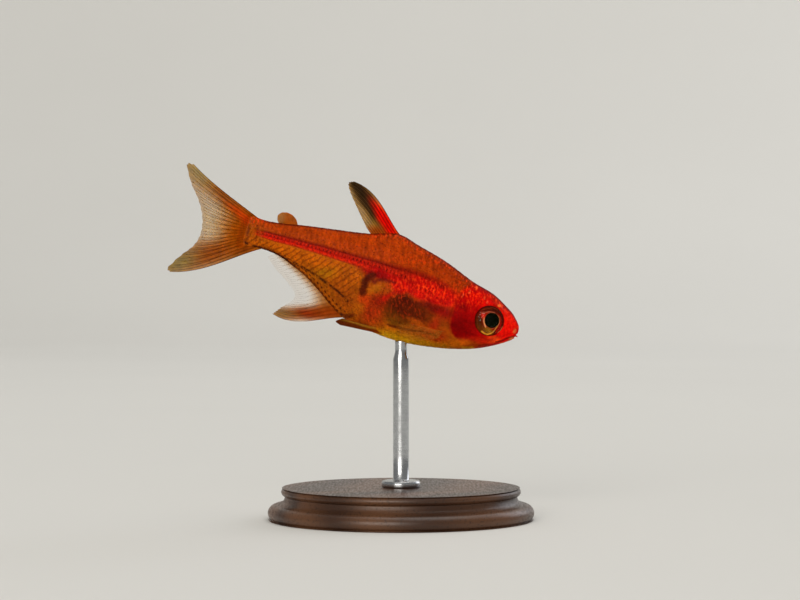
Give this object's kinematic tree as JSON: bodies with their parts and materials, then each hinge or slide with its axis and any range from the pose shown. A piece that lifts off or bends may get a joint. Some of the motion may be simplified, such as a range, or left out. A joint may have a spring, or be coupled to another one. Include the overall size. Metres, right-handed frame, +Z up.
{
  "type": "ember tetra",
  "caption": "Life-size ember tetra swimming head-down, with rayed fins and forked tail, held by a rod on a round base.",
  "frame": {"origin": "centre of the stand's underside, on the surface it rests on", "axes": "+X towards the fish's head, +Y to the fish's left, +Z up"},
  "size_m": [0.0207, 0.015, 0.0201],
  "materials": {
    "head_skin": "vivid red painted skin under a thin clear coat, with fine scattered glints",
    "gill_skin": "deep red, smooth and glossy",
    "eye": "clear glossy dome over a black pupil, a thin gold ring and a dark red iris",
    "flank_skin": "orange-brown scaled skin under a thin clear coat, with a red stripe along the side",
    "back_fin": "translucent red membrane with fine rays and a dark streak",
    "anal_fin": "translucent red-brown membrane with fine rays",
    "tail_fin": "translucent amber membrane with fine branched rays",
    "paired_fin": "almost clear amber membrane with fine rays",
    "stand_rod": "brushed stainless steel",
    "stand_base": "dark stained and waxed hardwood, turned"
  },
  "bodies": {
    "root": {"head": "head_skin", "gill_cover_left": "gill_skin", "gill_cover_right": "gill_skin", "eye_left": "eye", "eye_right": "eye", "trunk": "flank_skin", "tail_stalk": "flank_skin", "dorsal_fin": "back_fin", "adipose_fin": "back_fin", "anal_fin": "anal_fin", "caudal_fin_upper": "tail_fin", "caudal_fin_lower": "tail_fin", "pectoral_fin_left": "paired_fin", "pectoral_fin_right": "paired_fin", "pelvic_fin_left": "paired_fin", "pelvic_fin_right": "paired_fin", "stand_rod": "stand_rod", "stand_base": "stand_base"}
  },
  "joints": []
}
